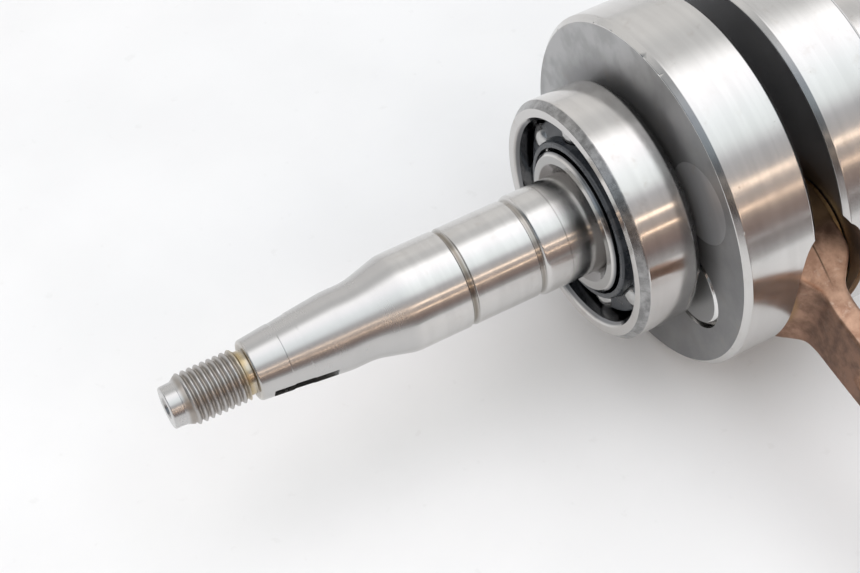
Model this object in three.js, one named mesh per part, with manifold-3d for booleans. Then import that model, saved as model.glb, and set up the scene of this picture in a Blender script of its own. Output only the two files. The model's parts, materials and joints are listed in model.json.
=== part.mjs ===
// Built-up single-cylinder crankshaft with its connecting rod and two main bearings.
// Millimetres. X runs along the crank axis, from the rotor end (-X) to the drive end (+X).
// Z is up. The origin is on the crank axis, midway between the two webs.

import * as THREE from 'three';
import { mergeVertices } from 'three/addons/utils/BufferGeometryUtils.js';
import Module from 'manifold-3d';

const wasm = await Module();
wasm.setup();

// ---------------------------------------------------------------- driving dimensions

const WEB_RADIUS = 50;
const WEB_OUTER_X = 26.2;          // outer face of each web, from the mid-plane
const WEB_INNER_X = 4.2;           // inner face of each web
const OUTER_CHAMFER = 1.5;
const INNER_CHAMFER = 1.4;

const THROW = 29;                  // half the stroke
const PIN_RADIUS = 12;
const PIN_CHAMFER = 1.6;
const PIN_ANGLE = 200;             // degrees from +Y towards +Z
const PRESS_GAP = 0.05;            // drawn gap of a press fit
const SLIP_GAP = 0.2;              // drawn gap of a running fit

const RECESS_FLOOR_X = 11;         // floor of the pocket that clears the big end
const RECESS_FLOOR_RADIUS = 22.5;
const RECESS_RADIUS = 33;

const PLUG_RADIUS = 11.2;
const PLUG_DISTANCE = 34;          // plug centre from the crank axis
const PLUG_OFFSET = 59;            // degrees each side of the crankpin
const PLUG_THICKNESS = 4;
const PLUG_HOLE_DEPTH = 12;

const BEARING_BORE = 14;
const BEARING_RADIUS = 34;
const BEARING_WIDTH = 18;
const BEARING_CHAMFER = 1.8;
const SHOULDER_WIDTH = 2;          // spacer shoulder between web and bearing
const SHOULDER_RADIUS = 18;
const BEARING_X = WEB_OUTER_X + SHOULDER_WIDTH + BEARING_WIDTH / 2;
const BALL_COUNT = 8;
const BALL_RADIUS = 5.75;
const BALL_PITCH_RADIUS = 24.3;
const RACEWAY_RADIUS = 6;
const INNER_SHOULDER_RADIUS = 20.2;
const OUTER_SHOULDER_RADIUS = 28.4;
const FIRST_BALL_ANGLE = 22;

const NEEDLE_COUNT = 16;
const NEEDLE_RADIUS = 1.4;
const NEEDLE_LENGTH = 13.6;
const NEEDLE_PITCH_RADIUS = 13.47;

const ROD_LENGTH = 112;
const BIG_END_RADIUS = 19;
const BIG_END_BORE = 15;
const BIG_END_HALF_WIDTH = 9.2;
const SMALL_END_RADIUS = 14.5;
const SMALL_END_BORE = 11;
const SMALL_END_HALF_WIDTH = 8;
const BEAM_HALF_THICKNESS = 3.2;
const BEAM_POCKET_DEPTH = 1.4;
const ROD_ANGLE = 188.5;           // degrees from +Y towards +Z, from the crankpin to the small end

const WASHER_RADIUS = 17.8;
const WASHER_THICKNESS = 1.4;

const SHAFT_RADIUS = 13.4;         // sealing diameter of the rotor-side shaft
const SEAT_RADIUS = BEARING_BORE - PRESS_GAP;
const TAPER_LARGE_RADIUS = 10.65;
const TAPER_SMALL_RADIUS = 8.1;
const TAPER_LARGE_X = -116.1;
const TAPER_SMALL_X = -140.4;
const ROTOR_THREAD_RADIUS = 7;
const NOSE_RADIUS = 5.65;
const ROTOR_TIP_X = -162.6;
const DRIVE_TIP_X = 96;
const GEAR_SEAT_RADIUS = 12;
const DRIVE_THREAD_RADIUS = 9;
const THREAD_ROOT_RADIUS = 5.9;    // undercut behind the rotor-side thread
const DRIVE_UNDERCUT_RADIUS = 8.2;
const CENTRE_HOLE_RADIUS = 1.5;
const CENTRE_HOLE_DEPTH = 5;
const CENTRE_MOUTH_RADIUS = 2.4;
const CENTRE_MOUTH_DEPTH = 1.2;

const KEY_CUTTER_RADIUS = 9.5;
const KEY_CUTTER_RISE = 4;         // cutter centre above the shaft surface
const KEY_WIDTH = 4;
const ROTOR_KEY_X = -129.1;
const DRIVE_KEY_X = 63.5;

const SHAFT_SEGMENTS = 32;
const RING_SEGMENTS = 32;
const BORE_SEGMENTS = 24;

// ---------------------------------------------------------------- directions

const radians = THREE.MathUtils.degToRad;
const X_AXIS = new THREE.Vector3(1, 0, 0);
const Y_AXIS = new THREE.Vector3(0, 1, 0);
const Z_AXIS = new THREE.Vector3(0, 0, 1);

// A point at a distance from the crank axis, at an angle from +Y towards +Z.
function aroundCrank(distance, degrees, x = 0) {
  const a = radians(degrees);
  return new THREE.Vector3(x, distance * Math.cos(a), distance * Math.sin(a));
}

const PIN_CENTRE = aroundCrank(THROW, PIN_ANGLE);

// ---------------------------------------------------------------- shape helpers

// Turns a list of [x, radius] points about the X axis.
// The points run from low x to high x on the outside.
function turned(points, segments) {
  const profile = points.map(([x, r]) => new THREE.Vector2(r, x));
  const geometry = new THREE.LatheGeometry(profile, segments);
  return geometry.rotateZ(-Math.PI / 2);
}

function mirrored(points) {
  return points.map(([x, r]) => [-x, r]).reverse();
}

// Extrudes a shape drawn as (along u, along v) by a centred width.
function extruded(shape, width, u, v) {
  const geometry = new THREE.ExtrudeGeometry(shape, { depth: width, bevelEnabled: false, curveSegments: 8 });
  geometry.translate(0, 0, -width / 2);
  const w = new THREE.Vector3().crossVectors(u, v);
  return geometry.applyMatrix4(new THREE.Matrix4().makeBasis(u, v, w));
}

function toSolid(geometry) {
  const bare = new THREE.BufferGeometry();
  bare.setAttribute('position', geometry.getAttribute('position').clone());
  if (geometry.index) {
    bare.setIndex(geometry.index.clone());
  }
  const merged = mergeVertices(bare, 1e-4);
  const position = merged.getAttribute('position');
  const triangles = [];
  for (let i = 0; i < merged.index.count; i += 3) {
    const [a, b, c] = [0, 1, 2].map((k) => merged.index.getX(i + k));
    if (a !== b && b !== c && c !== a) {
      triangles.push(a, b, c);
    }
  }
  return new wasm.Manifold(new wasm.Mesh({
    numProp: 3,
    vertProperties: Float32Array.from(position.array),
    triVerts: Uint32Array.from(triangles),
  }));
}

function toGeometry(solid) {
  const mesh = solid.getMesh();
  const geometry = new THREE.BufferGeometry();
  geometry.setAttribute('position', new THREE.BufferAttribute(Float32Array.from(mesh.vertProperties), 3));
  geometry.setIndex(new THREE.BufferAttribute(Uint32Array.from(mesh.triVerts), 1));
  return geometry;
}

function cut(body, tools) {
  let solid = toSolid(body);
  for (const tool of tools) {
    solid = solid.subtract(toSolid(tool));
  }
  return toGeometry(solid);
}

// ---------------------------------------------------------------- materials

const finishes = {
  groundSteel: { color: 0xa9a6a2, roughness: 0.28, metalness: 1 },
  plugSteel: { color: 0x8b8985, roughness: 0.4, metalness: 1 },
  bearingSteel: { color: 0xb8b5b0, roughness: 0.2, metalness: 1 },
  copperPlate: { color: 0x8a5a42, roughness: 0.5, metalness: 0.8 },
  bronze: { color: 0xa8753f, roughness: 0.35, metalness: 1 },
  polyamide: { color: 0x26292d, roughness: 0.45, metalness: 0 },
};

const crankshaft = new THREE.Group();

function addPart(name, geometry, finish, position = new THREE.Vector3(), degrees = 0) {
  const mesh = new THREE.Mesh(geometry, new THREE.MeshStandardMaterial(finishes[finish]));
  mesh.name = name;
  mesh.position.copy(position);
  mesh.rotation.x = radians(degrees);
  crankshaft.add(mesh);
}

// ---------------------------------------------------------------- crank halves

// Outer face, rim and inner face of the rotor-side web.
const webProfile = [
  [-WEB_OUTER_X, SHOULDER_RADIUS],
  [-WEB_OUTER_X, WEB_RADIUS - OUTER_CHAMFER],
  [-WEB_OUTER_X + OUTER_CHAMFER, WEB_RADIUS],
  [-WEB_INNER_X - INNER_CHAMFER, WEB_RADIUS],
  [-WEB_INNER_X, WEB_RADIUS - INNER_CHAMFER],
  [-WEB_INNER_X, 0],
];

const shoulderProfile = [
  [-WEB_OUTER_X - SHOULDER_WIDTH, SEAT_RADIUS],
  [-WEB_OUTER_X - SHOULDER_WIDTH, SHOULDER_RADIUS],
];

function taperRadius(x) {
  const t = (x - TAPER_SMALL_X) / (TAPER_LARGE_X - TAPER_SMALL_X);
  return TAPER_SMALL_RADIUS + t * (TAPER_LARGE_RADIUS - TAPER_SMALL_RADIUS);
}

// A shallow groove across a parallel shaft.
function groove(from, to, depth, wall = 0.2) {
  return [
    [from, SHAFT_RADIUS],
    [from + wall, SHAFT_RADIUS - depth],
    [to - wall, SHAFT_RADIUS - depth],
    [to, SHAFT_RADIUS],
  ];
}

const TAPER_BAND = { from: -131.85, to: -126.35, depth: 0.3, wall: 0.25 };

const rotorShaftProfile = [
  [ROTOR_TIP_X + CENTRE_HOLE_DEPTH, 0],
  [ROTOR_TIP_X + CENTRE_HOLE_DEPTH, CENTRE_HOLE_RADIUS],
  [ROTOR_TIP_X + CENTRE_MOUTH_DEPTH, CENTRE_HOLE_RADIUS],
  [ROTOR_TIP_X, CENTRE_MOUTH_RADIUS],
  [ROTOR_TIP_X, NOSE_RADIUS - 0.45],
  [ROTOR_TIP_X + 0.5, NOSE_RADIUS],
  [-159.1, NOSE_RADIUS],
  [-157.8, ROTOR_THREAD_RADIUS],
  [-142.9, ROTOR_THREAD_RADIUS],
  [-142.4, THREAD_ROOT_RADIUS],
  [TAPER_SMALL_X, THREAD_ROOT_RADIUS],
  [TAPER_SMALL_X, TAPER_SMALL_RADIUS - 0.5],
  [TAPER_SMALL_X + 0.5, TAPER_SMALL_RADIUS + 0.05],
  [TAPER_BAND.from, taperRadius(TAPER_BAND.from)],
  [TAPER_BAND.from + TAPER_BAND.wall, taperRadius(TAPER_BAND.from) - TAPER_BAND.depth],
  [TAPER_BAND.to - TAPER_BAND.wall, taperRadius(TAPER_BAND.to) - TAPER_BAND.depth],
  [TAPER_BAND.to, taperRadius(TAPER_BAND.to)],
  [TAPER_LARGE_X, TAPER_LARGE_RADIUS],
  [-109.3, TAPER_LARGE_RADIUS],
  [-98.65, SHAFT_RADIUS],
  ...groove(-83.6, -81.6, 0.5),
  ...groove(-64, -61.4, 0.5),
  [-60.8, SEAT_RADIUS],
];

const driveShaftProfile = [
  [WEB_OUTER_X + SHOULDER_WIDTH, SEAT_RADIUS],
  [49, SEAT_RADIUS],
  [49.5, SEAT_RADIUS - 0.5],
  [49.5, GEAR_SEAT_RADIUS - 0.6],
  [51, GEAR_SEAT_RADIUS - 0.6],
  [51, GEAR_SEAT_RADIUS],
  [76, GEAR_SEAT_RADIUS],
  [76.5, GEAR_SEAT_RADIUS - 0.5],
  [76.5, DRIVE_UNDERCUT_RADIUS],
  [78.5, DRIVE_UNDERCUT_RADIUS],
  [79.2, DRIVE_THREAD_RADIUS],
  [DRIVE_TIP_X - 1.2, DRIVE_THREAD_RADIUS],
  [DRIVE_TIP_X, DRIVE_THREAD_RADIUS - 1.2],
  [DRIVE_TIP_X, CENTRE_MOUTH_RADIUS],
  [DRIVE_TIP_X - CENTRE_MOUTH_DEPTH, CENTRE_HOLE_RADIUS],
  [DRIVE_TIP_X - CENTRE_HOLE_DEPTH, CENTRE_HOLE_RADIUS],
  [DRIVE_TIP_X - CENTRE_HOLE_DEPTH, 0],
];

// Pocket around the big end: a flat floor, then a wall that rises in a quarter ellipse.
function recessTool(side) {
  const wallWidth = RECESS_RADIUS - RECESS_FLOOR_RADIUS;
  const wallHeight = RECESS_FLOOR_X - WEB_INNER_X + SLIP_GAP;
  const wall = [1, 2, 3, 4].map((step) => {
    const t = (step * Math.PI) / 8;
    const x = RECESS_FLOOR_X - wallHeight * (1 - Math.cos(t));
    return [-x, RECESS_FLOOR_RADIUS + wallWidth * Math.sin(t)];
  });
  const mouth = -WEB_INNER_X + INNER_CHAMFER;
  const points = [
    [-RECESS_FLOOR_X, 0],
    [-RECESS_FLOOR_X, RECESS_FLOOR_RADIUS],
    ...wall,
    [mouth, RECESS_RADIUS],
    [mouth, 0],
  ];
  const geometry = turned(side < 0 ? points : mirrored(points), SHAFT_SEGMENTS);
  return geometry.translate(0, PIN_CENTRE.y, PIN_CENTRE.z);
}

function cylinderAlongX(radius, from, to, segments) {
  return turned([[from, 0], [from, radius], [to, radius], [to, 0]], segments);
}

function pinBore() {
  const reach = WEB_OUTER_X + 1;
  const geometry = cylinderAlongX(PIN_RADIUS + PRESS_GAP, -reach, reach, BORE_SEGMENTS);
  return geometry.translate(0, PIN_CENTRE.y, PIN_CENTRE.z);
}

function plugHole(side, offset) {
  const centre = aroundCrank(PLUG_DISTANCE, PIN_ANGLE + offset);
  const ends = [side * (WEB_OUTER_X - PLUG_HOLE_DEPTH), side * (WEB_OUTER_X + 1)];
  const [from, to] = ends.sort((a, b) => a - b);
  return cylinderAlongX(PLUG_RADIUS + PRESS_GAP, from, to, BORE_SEGMENTS).translate(0, centre.y, centre.z);
}

// Half-moon keyway, cut by a thin disc that stands on edge over the shaft.
function keyway(x, shaftRadius) {
  const cutter = new THREE.CylinderGeometry(KEY_CUTTER_RADIUS, KEY_CUTTER_RADIUS, KEY_WIDTH, SHAFT_SEGMENTS);
  cutter.rotateX(Math.PI / 2);
  cutter.translate(x, shaftRadius + KEY_CUTTER_RISE, 0);
  return cutter.rotateX(radians(PIN_ANGLE));
}

function crankHalf(side, keyTool) {
  const points = side < 0
    ? [...rotorShaftProfile, ...shoulderProfile, ...webProfile]
    : [...mirrored(webProfile), mirrored(shoulderProfile)[0], ...driveShaftProfile];
  return cut(turned(points, SHAFT_SEGMENTS), [
    recessTool(side),
    pinBore(),
    plugHole(side, -PLUG_OFFSET),
    plugHole(side, PLUG_OFFSET),
    keyTool,
  ]);
}

addPart('left_crank_half', crankHalf(-1, keyway(ROTOR_KEY_X, taperRadius(ROTOR_KEY_X))), 'groundSteel');
addPart('right_crank_half', crankHalf(1, keyway(DRIVE_KEY_X, GEAR_SEAT_RADIUS)), 'groundSteel');

function plug() {
  const half = PLUG_THICKNESS / 2;
  return turned([[-half, 0], [-half, PLUG_RADIUS], [half, PLUG_RADIUS], [half, 0]], BORE_SEGMENTS);
}

for (const [sideName, side] of [['left', -1], ['right', 1]]) {
  for (const [letter, offset] of [['a', -PLUG_OFFSET], ['b', PLUG_OFFSET]]) {
    const x = side * (WEB_OUTER_X - PLUG_THICKNESS / 2);
    const centre = aroundCrank(PLUG_DISTANCE, PIN_ANGLE + offset, x);
    addPart(`${sideName}_web_plug_${letter}`, plug(), 'plugSteel', centre);
  }
}

// ---------------------------------------------------------------- crankpin and big end

function crankPin() {
  return turned([
    [-WEB_OUTER_X, 0],
    [-WEB_OUTER_X, PIN_RADIUS - PIN_CHAMFER],
    [-WEB_OUTER_X + PIN_CHAMFER, PIN_RADIUS],
    [WEB_OUTER_X - PIN_CHAMFER, PIN_RADIUS],
    [WEB_OUTER_X, PIN_RADIUS - PIN_CHAMFER],
    [WEB_OUTER_X, 0],
  ], BORE_SEGMENTS);
}

function ring(inner, outer, width, segments) {
  const half = width / 2;
  return turned([[-half, inner], [-half, outer], [half, outer], [half, inner], [-half, inner]], segments);
}

function needlePosition(index) {
  const a = (index * 2 * Math.PI) / NEEDLE_COUNT;
  return new THREE.Vector3(0, NEEDLE_PITCH_RADIUS * Math.cos(a), NEEDLE_PITCH_RADIUS * Math.sin(a));
}

const NEEDLE_CAGE = { inner: 12.5, outer: 14.5, width: 17.6 };
const NEEDLE_GAP = 0.18;            // between a needle and the sides of its slot

function needleCage() {
  const slots = [];
  for (let i = 0; i < NEEDLE_COUNT; i += 1) {
    const length = NEEDLE_LENGTH + 2 * SLIP_GAP;
    const slot = new THREE.BoxGeometry(length, 5, 2 * (NEEDLE_RADIUS + NEEDLE_GAP));
    slot.translate(0, NEEDLE_PITCH_RADIUS, 0);
    slots.push(slot.rotateX((i * 2 * Math.PI) / NEEDLE_COUNT));
  }
  const { inner, outer, width } = NEEDLE_CAGE;
  return cut(ring(inner, outer, width, RING_SEGMENTS), slots);
}

addPart('crank_pin', crankPin(), 'groundSteel', PIN_CENTRE);
addPart('big_end_cage', needleCage(), 'bronze', PIN_CENTRE);

const NEEDLE_SIDES = 8;
for (let i = 0; i < NEEDLE_COUNT; i += 1) {
  const half = NEEDLE_LENGTH / 2;
  const needle = cylinderAlongX(NEEDLE_RADIUS, -half, half, NEEDLE_SIDES);
  const name = `big_end_needle_${String(i + 1).padStart(2, '0')}`;
  addPart(name, needle, 'bearingSteel', needlePosition(i).add(PIN_CENTRE));
}

const WASHER_BORE = PIN_RADIUS + SLIP_GAP;
const WASHER_X = BIG_END_HALF_WIDTH + 0.15 + WASHER_THICKNESS / 2;
for (const [sideName, side] of [['left', -1], ['right', 1]]) {
  const centre = PIN_CENTRE.clone().setX(side * WASHER_X);
  const washer = ring(WASHER_BORE, WASHER_RADIUS, WASHER_THICKNESS, BORE_SEGMENTS);
  addPart(`${sideName}_thrust_washer`, washer, 'bronze', centre);
}

// ---------------------------------------------------------------- connecting rod

// Half-width of the rod at distances from the big-end centre: a wide neck outside
// the eye, a beam that narrows slowly, and a flare into the small end.
const NECK_START = { along: 13, half: 17 };
const NECK_BEND = { along: 24, half: 10.6 };
const BEAM_START = { along: 40, half: 10.2 };
const BEAM_END = { along: ROD_LENGTH - 24, half: 8 };
const FLARE_BEND = { along: ROD_LENGTH - 15, half: 8.2 };
const FLARE_END = { along: ROD_LENGTH - 9, half: 12.2 };

function rodOutline() {
  const shape = new THREE.Shape();
  shape.moveTo(NECK_START.along, -NECK_START.half);
  shape.lineTo(NECK_START.along, NECK_START.half);
  shape.quadraticCurveTo(NECK_BEND.along, NECK_BEND.half, BEAM_START.along, BEAM_START.half);
  shape.lineTo(BEAM_END.along, BEAM_END.half);
  shape.quadraticCurveTo(FLARE_BEND.along, FLARE_BEND.half, FLARE_END.along, FLARE_END.half);
  shape.lineTo(FLARE_END.along, -FLARE_END.half);
  shape.quadraticCurveTo(FLARE_BEND.along, -FLARE_BEND.half, BEAM_END.along, -BEAM_END.half);
  shape.lineTo(BEAM_START.along, -BEAM_START.half);
  shape.quadraticCurveTo(NECK_BEND.along, -NECK_BEND.half, NECK_START.along, -NECK_START.half);
  return extruded(shape, 2 * BIG_END_HALF_WIDTH + 2, Y_AXIS, Z_AXIS);
}

// Distances from the big-end centre between which the rod thins from its eye
// to the beam, and thickens again at the small end.
const THINNING = { from: 15, bend: 18.5, to: 25 };
const THICKENING = { from: ROD_LENGTH - 22, bend: ROD_LENGTH - 15, to: ROD_LENGTH - 12 };

// Side view of the rod: wide at the two eyes, thin along the beam.
function rodSideView() {
  const beam = BEAM_HALF_THICKNESS;
  const shape = new THREE.Shape();
  shape.moveTo(0, -BIG_END_HALF_WIDTH);
  shape.lineTo(THINNING.from, -BIG_END_HALF_WIDTH);
  shape.quadraticCurveTo(THINNING.bend, -beam, THINNING.to, -beam);
  shape.lineTo(THICKENING.from, -beam);
  shape.quadraticCurveTo(THICKENING.bend, -beam, THICKENING.to, -SMALL_END_HALF_WIDTH);
  shape.lineTo(ROD_LENGTH, -SMALL_END_HALF_WIDTH);
  shape.lineTo(ROD_LENGTH, SMALL_END_HALF_WIDTH);
  shape.lineTo(THICKENING.to, SMALL_END_HALF_WIDTH);
  shape.quadraticCurveTo(THICKENING.bend, beam, THICKENING.from, beam);
  shape.lineTo(THINNING.to, beam);
  shape.quadraticCurveTo(THINNING.bend, beam, THINNING.from, BIG_END_HALF_WIDTH);
  shape.lineTo(0, BIG_END_HALF_WIDTH);
  return extruded(shape, 2 * BIG_END_RADIUS + 4, Y_AXIS, X_AXIS);
}

// Pocket on one side of the I-section beam: round ends, widest near the big end.
const POCKET_START = { along: 45, half: 2.6 };
const POCKET_WIDEST = { along: 53, half: 4.8 };
const POCKET_END = { along: ROD_LENGTH - 27, half: 4 };
const POCKET_TOOL_DEPTH = 4;

function beamPocket(side) {
  const shape = new THREE.Shape();
  shape.absarc(POCKET_END.along, 0, POCKET_END.half, -Math.PI / 2, Math.PI / 2);
  shape.lineTo(POCKET_WIDEST.along, POCKET_WIDEST.half);
  shape.absarc(POCKET_START.along, 0, POCKET_START.half, Math.PI / 2, (3 * Math.PI) / 2);
  shape.lineTo(POCKET_WIDEST.along, -POCKET_WIDEST.half);
  const floor = BEAM_HALF_THICKNESS - BEAM_POCKET_DEPTH;
  const tool = extruded(shape, POCKET_TOOL_DEPTH, Y_AXIS, Z_AXIS);
  return tool.translate(side * (floor + POCKET_TOOL_DEPTH / 2), 0, 0);
}

const EYE_CHAMFER = 0.8;

function eye(radius, halfWidth, along, segments) {
  const c = EYE_CHAMFER;
  const geometry = turned([
    [-halfWidth, 0],
    [-halfWidth, radius - c],
    [-halfWidth + c, radius],
    [halfWidth - c, radius],
    [halfWidth, radius - c],
    [halfWidth, 0],
  ], segments);
  return geometry.translate(0, along, 0);
}

function connectingRod() {
  const reach = BIG_END_HALF_WIDTH + 2;
  let solid = toSolid(rodOutline()).intersect(toSolid(rodSideView()));
  solid = solid.add(toSolid(eye(BIG_END_RADIUS, BIG_END_HALF_WIDTH, 0, RING_SEGMENTS)));
  solid = solid.add(toSolid(eye(SMALL_END_RADIUS, SMALL_END_HALF_WIDTH, ROD_LENGTH, RING_SEGMENTS)));
  const tools = [
    cylinderAlongX(BIG_END_BORE, -reach, reach, RING_SEGMENTS),
    cylinderAlongX(SMALL_END_BORE, -reach, reach, BORE_SEGMENTS).translate(0, ROD_LENGTH, 0),
    beamPocket(-1),
    beamPocket(1),
  ];
  for (const tool of tools) {
    solid = solid.subtract(toSolid(tool));
  }
  return toGeometry(solid);
}

addPart('connecting_rod', connectingRod(), 'copperPlate', PIN_CENTRE, ROD_ANGLE);

// ---------------------------------------------------------------- main bearings

// Raceway arc about the ball circle, from one shoulder radius to the same on the other side.
function raceway(shoulderRadius, steps = 3) {
  const rise = shoulderRadius - BALL_PITCH_RADIUS;
  const half = Math.acos(Math.abs(rise) / RACEWAY_RADIUS);
  const points = [];
  for (let i = 0; i <= steps; i += 1) {
    const a = -half + (2 * half * i) / steps;
    const r = BALL_PITCH_RADIUS + Math.sign(rise) * RACEWAY_RADIUS * Math.cos(a);
    points.push([RACEWAY_RADIUS * Math.sin(a), r]);
  }
  return points;
}

function outerRing() {
  const half = BEARING_WIDTH / 2;
  const lip = OUTER_SHOULDER_RADIUS + 0.9;
  return turned([
    [-half, lip],
    [-half, BEARING_RADIUS - BEARING_CHAMFER],
    [-half + BEARING_CHAMFER, BEARING_RADIUS],
    [half - BEARING_CHAMFER, BEARING_RADIUS],
    [half, BEARING_RADIUS - BEARING_CHAMFER],
    [half, lip],
    ...raceway(OUTER_SHOULDER_RADIUS).reverse(),
    [-half, lip],
  ], RING_SEGMENTS);
}

function innerRing() {
  const half = BEARING_WIDTH / 2;
  const c = 1.3;
  const shoulder = INNER_SHOULDER_RADIUS;
  return turned([
    [-half, BEARING_BORE + c],
    [-half, shoulder - 0.6],
    [-half + 0.6, shoulder],
    ...raceway(shoulder),
    [half - 0.6, shoulder],
    [half, shoulder - 0.6],
    [half, BEARING_BORE + c],
    [half - c, BEARING_BORE],
    [-half + c, BEARING_BORE],
    [-half, BEARING_BORE + c],
  ], RING_SEGMENTS);
}

const POCKET_RADIUS = 6.5;
const CAGE_INNER_RADIUS = 21.6;
const CAGE_OUTER_RADIUS = 27.2;
const CAGE_OPEN_X = 4.6;            // the side where the balls snap in
const CAGE_BACK_X = 7.6;

function ballPosition(index) {
  return aroundCrank(BALL_PITCH_RADIUS, FIRST_BALL_ANGLE + (360 * index) / BALL_COUNT);
}

// Snap cage: a closed ring at the back, open round pockets at the front.
function ballCage(side) {
  const points = [
    [-CAGE_OPEN_X, CAGE_INNER_RADIUS],
    [-CAGE_OPEN_X, CAGE_OUTER_RADIUS],
    [CAGE_BACK_X, CAGE_OUTER_RADIUS],
    [CAGE_BACK_X, CAGE_INNER_RADIUS],
    [-CAGE_OPEN_X, CAGE_INNER_RADIUS],
  ];
  const pockets = [];
  for (let i = 0; i < BALL_COUNT; i += 1) {
    const pocket = new THREE.SphereGeometry(POCKET_RADIUS, 10, 6);
    const centre = ballPosition(i);
    pockets.push(pocket.translate(centre.x, centre.y, centre.z));
  }
  return cut(turned(side < 0 ? points : mirrored(points), RING_SEGMENTS), pockets);
}

for (const [sideName, side] of [['left', -1], ['right', 1]]) {
  const centre = new THREE.Vector3(side * BEARING_X, 0, 0);
  addPart(`${sideName}_bearing_outer_ring`, outerRing(), 'bearingSteel', centre);
  addPart(`${sideName}_bearing_inner_ring`, innerRing(), 'bearingSteel', centre);
  addPart(`${sideName}_bearing_cage`, ballCage(side), 'polyamide', centre);
  for (let i = 0; i < BALL_COUNT; i += 1) {
    const ball = new THREE.SphereGeometry(BALL_RADIUS, 8, 6);
    addPart(`${sideName}_bearing_ball_${i + 1}`, ball, 'bearingSteel', ballPosition(i).add(centre));
  }
}

export default crankshaft;
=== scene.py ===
# Visual model of a built-up crankshaft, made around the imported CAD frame.
# Shapes are written in millimetres and turned into metres when their meshes are made.
# The stage (floor, flag, light and camera) is written in metres.

import json
import math
import random

import bpy
import numpy as np
from mathutils import Matrix, Vector


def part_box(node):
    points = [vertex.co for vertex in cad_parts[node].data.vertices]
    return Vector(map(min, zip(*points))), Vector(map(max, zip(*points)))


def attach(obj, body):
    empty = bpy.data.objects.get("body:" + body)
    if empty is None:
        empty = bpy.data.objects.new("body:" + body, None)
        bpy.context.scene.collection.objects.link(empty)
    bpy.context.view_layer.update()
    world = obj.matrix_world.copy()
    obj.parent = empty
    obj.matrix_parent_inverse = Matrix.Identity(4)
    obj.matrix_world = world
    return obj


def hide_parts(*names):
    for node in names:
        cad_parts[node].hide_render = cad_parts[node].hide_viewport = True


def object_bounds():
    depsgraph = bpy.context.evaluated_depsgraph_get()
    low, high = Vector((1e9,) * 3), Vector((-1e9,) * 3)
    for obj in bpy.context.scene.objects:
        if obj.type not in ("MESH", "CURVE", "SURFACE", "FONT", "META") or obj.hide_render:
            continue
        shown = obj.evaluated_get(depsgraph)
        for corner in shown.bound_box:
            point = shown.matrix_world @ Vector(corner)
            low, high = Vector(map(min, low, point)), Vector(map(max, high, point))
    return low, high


MM = 0.001
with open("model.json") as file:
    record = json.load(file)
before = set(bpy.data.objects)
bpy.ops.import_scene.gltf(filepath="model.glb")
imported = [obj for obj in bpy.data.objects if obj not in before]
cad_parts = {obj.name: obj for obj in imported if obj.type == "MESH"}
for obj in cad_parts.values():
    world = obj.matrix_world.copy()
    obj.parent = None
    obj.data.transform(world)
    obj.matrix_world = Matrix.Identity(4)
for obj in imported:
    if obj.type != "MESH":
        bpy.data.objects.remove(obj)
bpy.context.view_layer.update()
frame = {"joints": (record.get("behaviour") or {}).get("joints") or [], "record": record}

# ---------------------------------------------------------------- what the frame gives

joints = {joint["name"]: joint for joint in frame["joints"]}
mounts = {mount["name"]: mount for mount in frame["record"]["mounts"]}


def box_mm(node):
    low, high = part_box(node)
    return low / MM, high / MM


PIN = Vector(joints["rod_swing"]["pos_m"]) / MM
SMALL_END = Vector(mounts["small_end_bore"]["pos_m"]) / MM
PIN_ANGLE = math.atan2(PIN.z, PIN.y)
ROD_LENGTH = (SMALL_END - PIN).length
ROD_ANGLE = math.atan2(SMALL_END.z - PIN.z, SMALL_END.y - PIN.y)

WEB_RADIUS = box_mm("left_crank_half")[1].z
TIP_X = box_mm("left_crank_half")[0].x
DRIVE_TIP_X = box_mm("right_crank_half")[1].x
WEB_INNER_X = box_mm("right_crank_half")[0].x
WEB_OUTER_X = box_mm("crank_pin")[1].x
PIN_RADIUS = (box_mm("crank_pin")[1].z - box_mm("crank_pin")[0].z) / 2
BEARING_LOW, BEARING_HIGH = box_mm("right_bearing_outer_ring")
BEARING_X = (BEARING_LOW.x + BEARING_HIGH.x) / 2
BEARING_HALF = (BEARING_HIGH.x - BEARING_LOW.x) / 2
BEARING_RADIUS = BEARING_HIGH.z
BALL_LOW, BALL_HIGH = box_mm("left_bearing_ball_1")
BALL_CENTRE = (BALL_LOW + BALL_HIGH) / 2
BALL_PHASE = math.atan2(BALL_CENTRE.z, BALL_CENTRE.y)
PLUG_THICKNESS = box_mm("left_web_plug_a")[1].x - box_mm("left_web_plug_a")[0].x
FLOOR_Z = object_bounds()[0].z

# ---------------------------------------------------------------- dimensions of the detail

WEB_OUTER_CHAMFER = 1.5
WEB_INNER_CHAMFER = 1.4
SHOULDER_RADIUS = 18
SHOULDER_WIDTH = 2
SEAT_RADIUS = 13.95  # under a bearing's inner ring
ROTOR_SEAT_END_X = -60.9
DRIVE_SEAT_END_X = 49
SHAFT_RADIUS = 13.4
STEP_GROOVE = (-63.2, -62.0, 0.55)  # start and end of the floor, and depth
RING_GROOVE = (-83.2, -81.8, 0.5)
CONE = (-98.65, -109.3)  # from the shaft down to the taper's large end
TAPER_LARGE = (-116.1, 10.65)  # x and radius
TAPER_SMALL = (-140.4, 8.1)
TAPER_BAND = (-131.85, -126.35, 0.14)  # a shallow band round the taper
NOSE_RADIUS = 5.65
CENTRE_HOLE_RADIUS = 2.0
CENTRE_HOLE_DEPTH = 5
CENTRE_MOUTH_RADIUS = 2.9
CENTRE_MOUTH_DEPTH = 1.1
GEAR_SEAT = (51.2, 76.0, 12.0)  # start, end and radius
GEAR_UNDERCUT_RADIUS = 11.4
ROTOR_UNDERCUT_RADIUS = 5.9
DRIVE_UNDERCUT_RADIUS = 7.9
THREAD_PITCH = 1.75
THREAD_DEPTH = 0.8
THREAD_LEAD = 1.6  # length of the rotor thread's pointed start
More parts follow.
